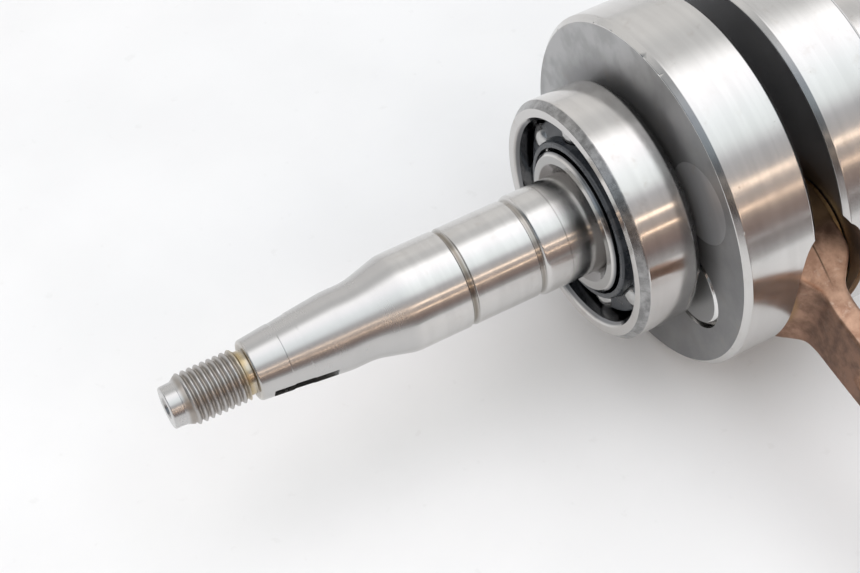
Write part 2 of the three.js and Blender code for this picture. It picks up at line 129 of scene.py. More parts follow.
ROTOR_THREAD = (-159.2, -142.7, 7.0)  # start, end and crest radius
DRIVE_THREAD = (79.0, DRIVE_TIP_X - 0.2, 9.0)
PLUG_DISTANCE = 34
PLUG_OFFSET = math.radians(59)
PLUG_RADIUS = 11.2
PLUG_POCKET_DEPTH = 12
RECESS_FLOOR_X = 11
RECESS_FLOOR_RADIUS = 22.5
RECESS_RADIUS = 33
KEY_WIDTH = 4
KEY_CUTTER_RADIUS = 9.5
KEY_CUTTER_RISE = 4  # cutter centre above the shaft's surface
ROTOR_KEY_X = -129.1
DRIVE_KEY_X = 63.5
BALL_COUNT = 8
BALL_RADIUS = 5.85
BALL_PITCH_RADIUS = 24.3
RACE_CLEARANCE = 0.08
OUTER_SHOULDER_RADIUS = 28.7
INNER_SHOULDER_RADIUS = 19.9
NEEDLE_COUNT = 16
NEEDLE_RADIUS = 1.42
NEEDLE_PITCH_RADIUS = 13.47
NEEDLE_LENGTH = 13.6
NEEDLE_CAGE = (12.5, 14.5)  # inner and outer radius
WASHER_RADIUS = 17.8
BIG_END_RADIUS = 19
BIG_END_BORE = 15
BIG_END_HALF_WIDTH = 9.2
SMALL_END_RADIUS = 14.5
SMALL_END_BORE = 11
SMALL_END_HALF_WIDTH = 8

SHAFT_SEGMENTS = 192
RING_SEGMENTS = 160
SMALL_SEGMENTS = 96
NEEDLE_SEGMENTS = 24
BALL_SEGMENTS = (48, 24)  # around, and from pole to pole
POCKET_SEGMENTS = (40, 20)
NICK_SEGMENTS = (10, 6)

# ---------------------------------------------------------------- mesh helpers


def mesh_object(name, vertices, faces):
    mesh = bpy.data.meshes.new(name)
    mesh.from_pydata([tuple(v) for v in vertices], [], faces)
    mesh.validate()
    mesh.update()
    thing = bpy.data.objects.new(name, mesh)
    bpy.context.scene.collection.objects.link(thing)
    return thing


def finish_normals(thing, sharp_degrees=32):
    thing.data.shade_smooth()
    thing.data.set_sharp_from_angle(angle=math.radians(sharp_degrees))


def rounded(points, steps=4, hold=0.1):
    """Rounds each corner (x, r, fillet) of an outline, and holds its straight stretches straight."""
    closed = points[0][:2] == points[-1][:2]
    corners = points[:-1] if closed else points
    count = len(corners)
    outline = []
    for i, (x, r, fillet) in enumerate(corners):
        here = Vector((x, r))
        if not closed and i in (0, count - 1):
            outline.append(here)
            continue
        before = Vector(corners[i - 1][:2]) - here
        after = Vector(corners[(i + 1) % count][:2]) - here
        reach = min(fillet, before.length * 0.4, after.length * 0.4)
        if reach <= 0:
            outline.append(here)
            continue
        start, end = here + before.normalized() * reach, here + after.normalized() * reach
        if before.length > 2 * reach + 4 * hold:
            outline.append(start + before.normalized() * hold)
        for k in range(steps + 1):
            t = k / steps
            outline.append(start * (1 - t) ** 2 + here * 2 * t * (1 - t) + end * t ** 2)
        if after.length > 2 * reach + 4 * hold:
            outline.append(end + after.normalized() * hold)
    if closed:
        outline.append(outline[0].copy())
    return [(p.x, p.y) for p in outline]


def lathe(name, outline, segments, centre=(0, 0), shape=None):
    """Turns (x, r) points about the X axis through centre (y, z). shape(x, r, angle) may change r."""
    closed = outline[0] == outline[-1]
    rings = outline[:-1] if closed else outline
    vertices, starts = [], []
    for x, r in rings:
        starts.append(len(vertices))
        if r < 1e-6:
            vertices.append((x, 0, 0))
            continue
        for k in range(segments):
            a = 2 * math.pi * k / segments
            radius = shape(x, r, a) if shape else r
            vertices.append((x, radius * math.cos(a), radius * math.sin(a)))
    faces = []
    for i in range(len(rings) - (0 if closed else 1)):
        j = (i + 1) % len(rings)
        pole_i, pole_j = rings[i][1] < 1e-6, rings[j][1] < 1e-6
        for k in range(segments):
            n = (k + 1) % segments
            a, b = starts[i] + (0 if pole_i else k), starts[i] + (0 if pole_i else n)
            c, d = starts[j] + (0 if pole_j else n), starts[j] + (0 if pole_j else k)
            if pole_i and not pole_j:
                faces.append((a, c, d))
            elif pole_j and not pole_i:
                faces.append((a, b, c))
            elif not pole_i:
                faces.append((a, b, c, d))
    moved = [(x * MM, (y + centre[0]) * MM, (z + centre[1]) * MM) for x, y, z in vertices]
    thing = mesh_object(name, moved, faces)
    point_outwards(thing)
    return thing


def point_outwards(thing):
    """Flips a closed mesh whose faces point inwards."""
    mesh = thing.data
    mesh.calc_loop_triangles()
    co = np.array([v.co for v in mesh.vertices])
    tri = np.array([t.vertices for t in mesh.loop_triangles])
    volume = np.einsum("ij,ij->i", co[tri[:, 0]], np.cross(co[tri[:, 1]], co[tri[:, 2]])).sum()
    if volume < 0:
        mesh.flip_normals()


def apply_modifiers(thing):
    graph = bpy.context.evaluated_depsgraph_get()
    mesh = bpy.data.meshes.new_from_object(thing.evaluated_get(graph))
    thing.modifiers.clear()
    thing.data = mesh


def cut(thing, tools):
    for tool in tools:
        change = thing.modifiers.new("cut", "BOOLEAN")
        change.operation = "DIFFERENCE"
        change.solver = "MANIFOLD"
        change.object = tool
    apply_modifiers(thing)
    for tool in tools:
        bpy.data.objects.remove(tool)


def join(name, things):
    vertices, faces = [], []
    for thing in things:
        start = len(vertices)
        vertices += [v.co.copy() for v in thing.data.vertices]
        faces += [tuple(start + i for i in p.vertices) for p in thing.data.polygons]
        bpy.data.objects.remove(thing)
    return mesh_object(name, vertices, faces)


def cylinder(name, radius, low, high, centre):
    return lathe(name, [(low, 0), (low, radius), (high, radius), (high, 0)], SMALL_SEGMENTS, centre)


def round_the_crank(distance, angle):
    return distance * math.cos(angle), distance * math.sin(angle)


def mirrored(points):
    return [(-x, *rest) for x, *rest in reversed(points)]


# ---------------------------------------------------------------- shader helpers


def new_node(tree, kind, **settings):
    made = tree.nodes.new(kind)
    for key, value in settings.items():
        setattr(made, key, value)
    return made


class Shader:
    """A metal or plastic material, whose marks follow the turning about an X axis through centre."""

    def __init__(self, name, centre=(0, 0)):
        self.material = bpy.data.materials.new(name)
        self.material.use_nodes = True
        self.tree = self.material.node_tree
        self.bsdf = self.tree.nodes["Principled BSDF"]
        place = self.node("ShaderNodeTexCoord").outputs["Object"]
        offset = self.node("ShaderNodeVectorMath", operation="SUBTRACT")
        self.feed(offset.inputs[0], place)
        offset.inputs[1].default_value = (0, centre[0] * MM, centre[1] * MM)
        self.place = offset.outputs[0]
        split = self.node("ShaderNodeSeparateXYZ")
        self.feed(split.inputs[0], self.place)
        self.x, self.y, self.z = split.outputs
        squares = [self.math("MULTIPLY", v, v) for v in (self.y, self.z)]
        self.r = self.math("SQRT", self.math("ADD", *squares))

    def node(self, kind, **settings):
        return new_node(self.tree, kind, **settings)

    def feed(self, socket, value):
        if isinstance(value, bpy.types.NodeSocket):
            self.tree.links.new(value, socket)
        else:
            socket.default_value = value

    def math(self, operation, a, b=0.0):
        made = self.node("ShaderNodeMath", operation=operation)
        self.feed(made.inputs[0], a)
        self.feed(made.inputs[1], b)
        return made.outputs[0]

    def turned_place(self, around=2.0):
        """A place that changes quickly along and across the turning, and slowly around it."""
        made = self.node("ShaderNodeCombineXYZ")
        safe = self.math("MAXIMUM", self.r, 1e-5)
        for socket, value in ((made.inputs[0], self.y), (made.inputs[1], self.z)):
            self.feed(socket, self.math("MULTIPLY", self.math("DIVIDE", value, safe), around * MM))
        self.feed(made.inputs[2], self.math("ADD", self.x, self.math("MULTIPLY", self.r, 0.83)))
        return made.outputs[0]

    def noise(self, size_mm, place=None, detail=2.0, roughness=0.5):
        made = self.node("ShaderNodeTexNoise")
        made.inputs["Scale"].default_value = 1 / (size_mm * MM)
        made.inputs["Detail"].default_value = detail
        made.inputs["Roughness"].default_value = roughness
        self.feed(made.inputs["Vector"], place or self.place)
        return made.outputs["Fac"]

    def span(self, value, low, high, to_low=0.0, to_high=1.0):
        made = self.node("ShaderNodeMapRange", interpolation_type="SMOOTHSTEP")
        self.feed(made.inputs["Value"], value)
        made.inputs["From Min"].default_value = low
        made.inputs["From Max"].default_value = high
        made.inputs["To Min"].default_value = to_low
        made.inputs["To Max"].default_value = to_high
        return made.outputs["Result"]

    def span_mm(self, value, low_mm, high_mm, to_low=0.0, to_high=1.0):
        return self.span(value, low_mm * MM, high_mm * MM, to_low, to_high)

    def near(self, value, centre_mm, width_mm):
        """1 where value is at centre, falling to 0 at width from it."""
        distance = self.math("ABSOLUTE", self.math("SUBTRACT", value, centre_mm * MM))
        return self.span_mm(distance, 0, width_mm, 1, 0)

    def mix(self, factor, a, b):
        made = self.node("ShaderNodeMix", data_type="RGBA")
        self.feed(made.inputs["Factor"], factor)
        for socket, value in ((made.inputs["A"], a), (made.inputs["B"], b)):
            self.feed(socket, value if isinstance(value, bpy.types.NodeSocket) else (*value, 1))
        return made.outputs["Result"]

    def mix_value(self, factor, a, b):
        made = self.node("ShaderNodeMix", data_type="FLOAT")
        self.feed(made.inputs["Factor"], factor)
        self.feed(made.inputs["A"], a)
        self.feed(made.inputs["B"], b)
        return made.outputs["Result"]

    def both(self, a, b):
        return self.math("MULTIPLY", a, b)

    def facing_x(self):
        """How squarely the surface faces along the X axis, 0 to 1."""
        geometry = self.node("ShaderNodeNewGeometry")
        facing = self.node("ShaderNodeSeparateXYZ")
        self.feed(facing.inputs[0], geometry.outputs["True Normal"])
        return self.math("ABSOLUTE", facing.outputs[0])

    def bump(self, height, distance_mm, strength=1.0, under=None):
        made = self.node("ShaderNodeBump")
        made.inputs["Strength"].default_value = strength
        made.inputs["Distance"].default_value = distance_mm * MM
        self.feed(made.inputs["Height"], height)
        if under:
            self.feed(made.inputs["Normal"], under)
        return made.outputs["Normal"]

    def turned_tangent(self, amount):
        tangent = self.node("ShaderNodeTangent", direction_type="RADIAL", axis="X")
        self.feed(self.bsdf.inputs["Tangent"], tangent.outputs[0])
        self.bsdf.inputs["Anisotropic"].default_value = amount
        self.bsdf.inputs["Anisotropic Rotation"].default_value = 0.25

    def done(self, colour, roughness, normal=None, metallic=1.0):
        self.feed(self.bsdf.inputs["Base Color"], colour)
        self.feed(self.bsdf.inputs["Roughness"], roughness)
        self.feed(self.bsdf.inputs["Metallic"], metallic)
        if normal:
            self.feed(self.bsdf.inputs["Normal"], normal)
        return self.material


# A near-black brown: a faint line on the shaft, and painted shade in the centre holes.
DARK_MARK_AND_SHADE = (0.07, 0.06, 0.05)


def ground(s, base, rough):
    """Ground metal: fine rings, faint bands and a cloudy roughness. Gives colour, roughness and grain."""
    fine = s.noise(0.25, s.turned_place(1.2), detail=3)
    broad = s.noise(2.4, s.turned_place(1.4), detail=3)
    cloud = s.noise(9, detail=4, roughness=0.6)
    light = tuple(c * 1.03 for c in base)
    dark = tuple(c * 0.96 for c in base)
    colour = s.mix(s.span(broad, 0.3, 0.7), dark, light)
    streaks = s.span(fine, 0.3, 0.7, -0.01, 0.01)
    roughness = s.math("ADD", s.span(cloud, 0.3, 0.7, rough - 0.025, rough + 0.035), streaks)
    return colour, roughness, fine


def brown_film(s, colour, amount):
    """A thin brown film here and there."""
    film = s.span(s.noise(5, detail=5, roughness=0.65), 0.56, 0.75, 0, amount)
    return s.mix(film, colour, (0.3, 0.22, 0.15))


def plug_steel():
    """Dull grey steel with a patchy film."""
    s = Shader("plug_steel")
    colour, roughness, fine = ground(s, (0.34, 0.34, 0.345), 0.34)
    return s.done(brown_film(s, colour, 0.3), roughness, s.bump(fine, 0.002), metallic=0.5)


def bearing_steel(name, side):
    """Bearing rings: bright outside, with painted shade in the space between the rings and a painted shadow
    at the bore's edge, and a brown edge beside the web.
    """
    s = Shader(name)
    colour, roughness, fine = ground(s, (0.62, 0.605, 0.59), 0.14)
    colour = brown_film(s, colour, 0.2)
    web_side_x = side * (BEARING_X - BEARING_HALF)
    patch = s.noise(3, detail=5, roughness=0.65)
    edge = s.both(s.near(s.x, web_side_x, 2.1), s.span(patch, 0.3, 0.6, 0.6, 1))
    edge = s.both(edge, s.span_mm(s.r, 32.2, 33))
    colour = s.mix(edge, colour, (0.10, 0.07, 0.05))
    facing = s.facing_x()
    slanted = s.both(s.span(facing, 0.2, 0.4), s.span(facing, 0.98, 0.9))
    chamfer = s.both(slanted, s.span_mm(s.r, 31.9, 32.2))
    wear = s.mix(s.span(patch, 0.35, 0.65), (0.17, 0.17, 0.17), (0.34, 0.34, 0.34))
    colour = s.mix(s.both(chamfer, 0.9), colour, wear)
    roughness = s.math("ADD", roughness, s.both(chamfer, 0.12))
    # Painted shade: the races and shoulders between the two rings are darkened where shade falls.
    between_rings_shade = s.both(s.span_mm(s.r, 29.7, 29.2), s.span_mm(s.r, 19.2, 19.8))
    colour = s.mix(s.both(between_rings_shade, 0.85), colour, (0.11, 0.115, 0.125))
    inner_face = s.both(s.span_mm(s.r, 21, 20.5), s.span(facing, 0.9, 0.95))
    colour = s.mix(inner_face, colour, (0.42, 0.415, 0.405))
    # Painted shadow: the edge of the bore is darkened where the ring meets the shaft.
    bore_edge_shadow = s.span_mm(s.r, 17.0, 16.6)
    colour = s.mix(s.both(bore_edge_shadow, 0.8), colour, (0.13, 0.12, 0.115))
    s.turned_tangent(0.5)
    return s.done(colour, roughness, s.bump(fine, 0.0005))


def web_marks(s, cloud, colour, roughness):
    """A web's dull, smudged outer face, painted lighter in patches above the bearing and with painted shade
    towards it, and painted shade on its inner face and pocket.
    """
    from_middle = s.math("ABSOLUTE", s.x)
    on_web = s.both(s.span(s.facing_x(), 0.97, 0.995), s.span_mm(from_middle, 20, 21))
    on_web = s.both(on_web, s.span_mm(s.r, 15, 17))
    face = s.mix(s.span(cloud, 0.3, 0.7), (0.20, 0.20, 0.205), (0.27, 0.27, 0.27))
    smudge = s.noise(6, detail=3, roughness=0.5)
    face = s.mix(s.span(smudge, 0.52, 0.72, 0, 0.2), face, (0.17, 0.155, 0.14))
    # Painted shade: the face darkens towards the bearing, in cloudy patches.
    bearing_side_shade = s.both(s.span_mm(s.r, 41, 34), s.span(cloud, 0.25, 0.6, 0.25, 0.5))
    face = s.mix(bearing_side_shade, face, (0.11, 0.105, 0.105))
    # Painted light: the face is painted lighter in patches above and below the bearing.
    top_face_light = s.both(s.span_mm(s.r, 33, 44), s.span_mm(s.y, -18, 14))
    top_face_light = s.both(top_face_light, s.span(smudge, 0.66, 0.4, 0.5, 0.85))
    face = s.mix(top_face_light, face, (0.48, 0.48, 0.48))
    colour = s.mix(on_web, colour, face)
    roughness = s.mix_value(on_web, roughness, s.span(cloud, 0.3, 0.7, 0.3, 0.4))
    metallic = s.math("SUBTRACT", 1.0, s.both(on_web, 0.45))
    # Painted shade: the inner faces and pocket between the webs are darkened, and made rougher.
    gap_shade = s.both(s.span_mm(from_middle, 11.4, RECESS_FLOOR_X), s.span_mm(s.r, 48.9, 48.4))
    colour = s.mix(s.both(gap_shade, 0.9), colour, (0.33, 0.33, 0.34))
    return colour, s.math("ADD", roughness, s.both(gap_shade, 0.22)), metallic


def rotor_shaft_marks(s, colour, roughness, fine):
    """The rotor side's dull taper, a thread tinted brown and darker towards its roots, dark groove floors,
    stained undercut and faint line.
    """
    dull = s.span_mm(s.x, -97, -101)
    colour = s.mix(s.both(dull, 0.8), colour, (0.49, 0.485, 0.48))
    roughness = s.math("ADD", roughness, s.both(dull, 0.07))
    fine = s.both(fine, s.span_mm(s.x, -101, -97, 0.15, 1))

    start, end, crest = ROTOR_THREAD
    threaded = s.both(s.span_mm(s.x, start, start + 1), s.span_mm(s.x, end + 1.5, end + 0.5))
    depth = s.span_mm(s.r, crest - 0.05, crest - THREAD_DEPTH, 0.25, 0.75)
    colour = s.mix(s.both(threaded, depth), colour, (0.30, 0.265, 0.23))
    roughness = s.math("ADD", roughness, s.both(threaded, 0.14))

    patch = s.noise(4, detail=6, roughness=0.68)
    undercut = s.both(s.near(s.x, -141.9, 2.6), s.span(patch, 0.3, 0.62, 0.45, 1))
    undercut = s.both(undercut, s.span_mm(s.r, 7.6, 7.1, 0.35, 0.8))
    colour = s.mix(undercut, colour, (0.52, 0.40, 0.20))
    shadow = s.both(s.near(s.x, TAPER_SMALL[0], 0.5), s.span_mm(s.r, 7.7, 6.6))
    colour = s.mix(s.both(shadow, 0.7), colour, (0.16, 0.13, 0.09))

    for groove_x, amount in ((-82.6, 0.75), (-62.5, 0.55)):
        band = s.both(s.near(s.x, groove_x, 1.5), s.span_mm(s.r, 13.38, 13.15))
        colour = s.mix(s.both(band, amount), colour, (0.12, 0.09, 0.05))
    line = s.both(s.near(s.x, -54.3, 0.3), s.span_mm(s.r, 14.4, 14.2))
    return s.mix(s.both(line, 0.3), colour, DARK_MARK_AND_SHADE), roughness, fine


def crank_steel(name, side):
    """A crank half: ground shaft and rim with scuffs, a dull web face with painted light and shade, and
    painted shade in the centre hole.
    """
    s = Shader(name)
    colour, roughness, fine = ground(s, (0.60, 0.59, 0.577), 0.175)
    cloud = s.noise(10, detail=4, roughness=0.6)
    colour, roughness, metallic = web_marks(s, cloud, colour, roughness)
    specks = s.span(s.noise(1.1, detail=5, roughness=0.7), 0.62, 0.70)
    scuffs = s.both(specks, s.span(cloud, 0.5, 0.65, 0, 0.5))
    colour = s.mix(s.both(scuffs, s.span_mm(s.r, 48, 48.4)), colour, (0.22, 0.20, 0.18))
    colour = brown_film(s, colour, 0.12)
    # Painted shade: the floor of the centre hole is darkened where shade falls in it.
    hole = s.both(s.span_mm(s.r, 3.0, 2.7), s.span(s.facing_x(), 0.999, 0.99))
    colour = s.mix(s.both(hole, 0.85), colour, DARK_MARK_AND_SHADE)
    if side < 0:
        colour, roughness, fine = rotor_shaft_marks(s, colour, roughness, fine)
    s.turned_tangent(0.5)
    return s.done(colour, roughness, s.bump(fine, 0.0005), metallic)


def copper_forging():
    """Copper-plated steel: warm brown with blotches, pits, worn lighter patches and a parting line, and
    painted shade on the faces that look along the X axis.
    """
    s = Shader("copper_plated_forging", (PIN.y, PIN.z))
    blotch = s.noise(7, detail=5, roughness=0.62)
    pits = s.noise(0.7, detail=4, roughness=0.6)
    rub = s.noise(3.2, detail=5, roughness=0.7)
    colour = s.mix(s.span(blotch, 0.35, 0.68), (0.28, 0.16, 0.108), (0.54, 0.345, 0.245))
    colour = s.mix(s.span(rub, 0.56, 0.7, 0, 0.45), colour, (0.60, 0.46, 0.37))
    colour = s.mix(s.span(pits, 0.34, 0.24, 0, 0.6), colour, (0.12, 0.08, 0.06))
    # Painted shade: the faces that look along the X axis are painted darker than the rest.
    side_face_shade = s.span(s.facing_x(), 0.6, 0.95, 0, 0.75)
    shade = s.mix(s.span(blotch, 0.38, 0.62), (0.085, 0.049, 0.033), (0.215, 0.12, 0.083))
    colour = s.mix(side_face_shade, colour, shade)
    eye = s.span_mm(s.r, 20.3, 18.8, 0, 0.8)
    colour = s.mix(eye, colour, (0.32, 0.20, 0.10))
    edge = s.span(s.facing_x(), 0.6, 0.35)
    line = s.both(s.near(s.x, -0.4, 0.42), s.span_mm(s.r, 27, 22))
    line = s.both(s.both(line, edge), s.span_mm(s.r, 18.4, 19.4))
    colour = s.mix(s.both(line, 0.9), colour, (0.07, 0.045, 0.03))
    roughness = s.span(blotch, 0.3, 0.7, 0.34, 0.5)
    normal = s.bump(pits, 0.05, 0.8)
    normal = s.bump(s.noise(2.4, detail=3), 0.1, 0.6, under=normal)
    return s.done(colour, roughness, normal, metallic=0.92)


def bronze():
    s = Shader("bronze", (PIN.y, PIN.z))
    rings = s.noise(0.4, s.turned_place(2), detail=3)
    blotch = s.noise(3, detail=5, roughness=0.65)
    colour = s.mix(s.span(blotch, 0.35, 0.7), (0.42, 0.25, 0.10), (0.66, 0.43, 0.21))
    return s.done(colour, s.span(blotch, 0.3, 0.7, 0.25, 0.42), s.bump(rings, 0.008))


def cage_polymer():
    s = Shader("cage_polymer")
    grain = s.noise(0.5, detail=4, roughness=0.6)
    oil = s.noise(4, detail=3)
    colour = s.mix(s.span(oil, 0.35, 0.7), (0.036, 0.041, 0.048), (0.066, 0.072, 0.082))
    return s.done(colour, s.span(oil, 0.3, 0.7, 0.2, 0.42), s.bump(grain, 0.02, 0.6), metallic=0.0)


def ball_steel():
    s = Shader("ball_steel")
    cloud = s.noise(2.5, detail=3)
    colour = s.mix(s.span(cloud, 0.3, 0.7), (0.42, 0.415, 0.41), (0.55, 0.545, 0.535))
    return s.done(colour, s.span(cloud, 0.3, 0.7, 0.16, 0.26), s.bump(s.noise(0.6), 0.002))


def give(thing, material, body, slot, *nodes):
    """Gives a finished piece its material and its body, and hides the CAD nodes that it stands for."""
    thing.data.materials.clear()
    thing.data.materials.append(material)
    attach(thing, body)
    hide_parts(*nodes)
    return thing


# ---------------------------------------------------------------- crank halves


def thread_shape(start, end, crest):
    """Cuts a round-crested helical thread into the radius between start and end."""
    def shape(x, r, angle):
        if not start - 1 < x < end + 0.6:
            return r
        turn = (x / THREAD_PITCH - angle / (2 * math.pi)) % 1
        wave = 0.5 + 0.5 * math.cos(2 * math.pi * turn)
        flank = min(1, max(0, 1.15 * wave - 0.07))
        return min(r, crest - THREAD_DEPTH * (1 - flank))
    return shape


def thread_rings(start, end, radius):
    count = int((end - start) / (THREAD_PITCH / 10))
    return [(start + (end - start) * k / count, radius) for k in range(count + 1)]


def taper_radius(x):
    t = (x - TAPER_SMALL[0]) / (TAPER_LARGE[0] - TAPER_SMALL[0])
    return TAPER_SMALL[1] + t * (TAPER_LARGE[1] - TAPER_SMALL[1])


def web_outline():
    """Outer face, rim and inner face of the rotor-side web."""
    return [
        (-WEB_OUTER_X, SHOULDER_RADIUS, 0.4),
        (-WEB_OUTER_X, WEB_RADIUS - WEB_OUTER_CHAMFER, 0.2),
        (-WEB_OUTER_X + WEB_OUTER_CHAMFER, WEB_RADIUS, 0.2),
        (-WEB_INNER_X - WEB_INNER_CHAMFER, WEB_RADIUS, 0.2),
        (-WEB_INNER_X, WEB_RADIUS - WEB_INNER_CHAMFER, 0.2),
        (-WEB_INNER_X, 0, 0),
    ]


def rotor_outline():
    start, end, crest = ROTOR_THREAD
    band_low, band_high, band_depth = TAPER_BAND
    small_x, small_radius = TAPER_SMALL
    ring_low, ring_high, ring_depth = RING_GROOVE
    step_low, step_high, step_depth = STEP_GROOVE
    nose = rounded([
        (TIP_X + CENTRE_HOLE_DEPTH, 0, 0),
        (TIP_X + CENTRE_HOLE_DEPTH, CENTRE_HOLE_RADIUS, 0),
        (TIP_X + CENTRE_MOUTH_DEPTH, CENTRE_HOLE_RADIUS, 0.1),
        (TIP_X, CENTRE_MOUTH_RADIUS, 0.15),
        (TIP_X, NOSE_RADIUS - 0.1, 0.45),
        (start - 0.2, NOSE_RADIUS, 0.15),
        (start + THREAD_LEAD, crest, 0),
    ])
    body = rounded([
        (end, crest, 0),
        (end + 0.3, ROTOR_UNDERCUT_RADIUS, 0.2),
        (small_x, ROTOR_UNDERCUT_RADIUS, 0.35),
        (small_x, small_radius - 0.3, 0.25),
        (small_x + 0.5, small_radius + 0.05, 0.2),
        (band_low, taper_radius(band_low), 0.1),
        (band_low + 0.3, taper_radius(band_low) - band_depth, 0.1),
        (band_high - 0.3, taper_radius(band_high) - band_depth, 0.1),
        (band_high, taper_radius(band_high), 0.1),
        (*TAPER_LARGE, 0.8),
        (CONE[1], TAPER_LARGE[1], 2.2),
        (CONE[0], SHAFT_RADIUS, 1.2),
        (ring_low - 0.3, SHAFT_RADIUS, 0.15),
        (ring_low, SHAFT_RADIUS - ring_depth, 0.1),
        (ring_high, SHAFT_RADIUS - ring_depth, 0.1),
        (ring_high + 0.3, SHAFT_RADIUS, 0.15),
        (step_low - 0.2, SHAFT_RADIUS, 0.15),
        (step_low, SHAFT_RADIUS - step_depth, 0.1),
        (step_high, SHAFT_RADIUS - step_depth, 0.1),
        (ROTOR_SEAT_END_X - 0.5, SEAT_RADIUS - 0.3, 0.1),
        (ROTOR_SEAT_END_X, SEAT_RADIUS, 0.2),
        (-WEB_OUTER_X - SHOULDER_WIDTH, SEAT_RADIUS, 0.2),
        (-WEB_OUTER_X - SHOULDER_WIDTH, SHOULDER_RADIUS, 0.3),
        *web_outline(),
    ])
    return nose[:-1] + thread_rings(start + THREAD_LEAD, end, crest) + body[1:]


def drive_outline():
    start, end, crest = DRIVE_THREAD
    gear_low, gear_high, gear_radius = GEAR_SEAT
    body = rounded([
        *mirrored(web_outline()),
        (WEB_OUTER_X + SHOULDER_WIDTH, SHOULDER_RADIUS, 0.3),
        (WEB_OUTER_X + SHOULDER_WIDTH, SEAT_RADIUS, 0.2),
        (DRIVE_SEAT_END_X, SEAT_RADIUS, 0.2),
        (DRIVE_SEAT_END_X + 0.5, SEAT_RADIUS - 0.5, 0.15),
        (DRIVE_SEAT_END_X + 0.5, GEAR_UNDERCUT_RADIUS, 0.2),
        (gear_low - 0.2, GEAR_UNDERCUT_RADIUS, 0.2),
        (gear_low, gear_radius, 0.15),
        (gear_high, gear_radius, 0.2),
        (gear_high + 0.5, gear_radius - 0.5, 0.15),
        (gear_high + 0.5, DRIVE_UNDERCUT_RADIUS, 0.3),
        (start, DRIVE_UNDERCUT_RADIUS, 0.3),
        (start + 0.7, crest, 0),
    ])
    tail = rounded([
        (end - 1.2, crest, 0),
        (end + 0.2, crest - 1.4, 0.2),
        (DRIVE_TIP_X, CENTRE_MOUTH_RADIUS, 0.15),
        (DRIVE_TIP_X - CENTRE_MOUTH_DEPTH, CENTRE_HOLE_RADIUS, 0.1),
        (DRIVE_TIP_X - CENTRE_HOLE_DEPTH, CENTRE_HOLE_RADIUS, 0),
        (DRIVE_TIP_X - CENTRE_HOLE_DEPTH, 0, 0),
    ])
    return body[:-1] + thread_rings(start + 0.7, end - 1.2, crest) + tail[1:]


def recess_tool(side):
    """The pocket round the big end: a flat floor and a wall that rises in a quarter ellipse."""
    wall_width = RECESS_RADIUS - RECESS_FLOOR_RADIUS
    wall_height = RECESS_FLOOR_X - WEB_INNER_X + 0.15
    steps = 16
    wall = []
    for k in range(1, steps + 1):
        t = k * math.pi / 2 / steps
        x = -RECESS_FLOOR_X + wall_height * (1 - math.cos(t))
        wall.append((x, RECESS_FLOOR_RADIUS + wall_width * math.sin(t)))
    floor = [(-RECESS_FLOOR_X, 0), (-RECESS_FLOOR_X, RECESS_FLOOR_RADIUS)]
    outline = floor + wall + [(-1, RECESS_RADIUS), (-1, 0)]
    if side > 0:
        outline = mirrored(outline)
    return lathe("recess", outline, RING_SEGMENTS, (PIN.y, PIN.z))


def key_tool(x, shaft_radius):
    """The round cutter of a Woodruff keyway, on the crankpin's side of the shaft."""
    outline = [(-KEY_WIDTH / 2, 0), (-KEY_WIDTH / 2, KEY_CUTTER_RADIUS)]
    outline += [(KEY_WIDTH / 2, KEY_CUTTER_RADIUS), (KEY_WIDTH / 2, 0)]
    tool = lathe("key", outline, SMALL_SEGMENTS)
    tool.data.transform(Matrix.Rotation(math.radians(90), 4, "Z"))
    tool.data.transform(Matrix.Rotation(math.radians(90), 4, "X"))
    tool.data.transform(Matrix.Translation((x * MM, (shaft_radius + KEY_CUTTER_RISE) * MM, 0)))
    tool.data.transform(Matrix.Rotation(PIN_ANGLE, 4, "X"))
    return tool


def nick_tools(side, seed, count=16):
    """Small dents along the rim's chamfers."""
    spread = random.Random(seed)
    edges = [
        (WEB_OUTER_X - WEB_OUTER_CHAMFER, WEB_RADIUS),
        (WEB_OUTER_X, WEB_RADIUS - WEB_OUTER_CHAMFER),
    ]
    nicks, used = [], []
    while len(nicks) < count:
        angle = spread.uniform(0, 2 * math.pi)
        if any(abs(math.sin((angle - other) / 2)) < 0.06 for other in used):
            continue
        used.append(angle)
        size = spread.uniform(0.35, 0.9)
        x, r = spread.choice(edges)
        rise = size * spread.uniform(0.55, 0.75)
        y, z = round_the_crank(r + rise, angle)
        nicks.append(ball("nick", size, (side * (x + 0.3), y, z), NICK_SEGMENTS))
    return join("nicks", nicks)


def ball(name, radius, centre, segments=BALL_SEGMENTS):
    around, up = segments
    turns = [math.pi * k / up for k in range(up + 1)]
    outline = [(-radius * math.cos(t), radius * math.sin(t)) for t in turns]
    outline[0], outline[-1] = (-radius, 0), (radius, 0)
    thing = lathe(name, outline, around)
    thing.data.transform(Matrix.Translation(Vector(centre) * MM))
    return thing


def plug_centre(offset):
    return round_the_crank(PLUG_DISTANCE, PIN_ANGLE + offset)


def crank_half(name, side, outline, thread, key):
    half = lathe(name, outline, SHAFT_SEGMENTS, shape=thread_shape(*thread))
    pocket = sorted((side * (WEB_OUTER_X - PLUG_POCKET_DEPTH), side * (WEB_OUTER_X + 1)))
    tools = [
        recess_tool(side),
        cylinder("bore", PIN_RADIUS + 0.06, -WEB_OUTER_X - 1, WEB_OUTER_X + 1, (PIN.y, PIN.z)),
        cylinder("pocket", PLUG_RADIUS + 0.04, *pocket, plug_centre(-PLUG_OFFSET)),
        cylinder("pocket", PLUG_RADIUS + 0.04, *pocket, plug_centre(PLUG_OFFSET)),
        key_tool(*key),
        nick_tools(side, seed=7 + side),
    ]
    cut(half, tools)
    finish_normals(half)
    return half


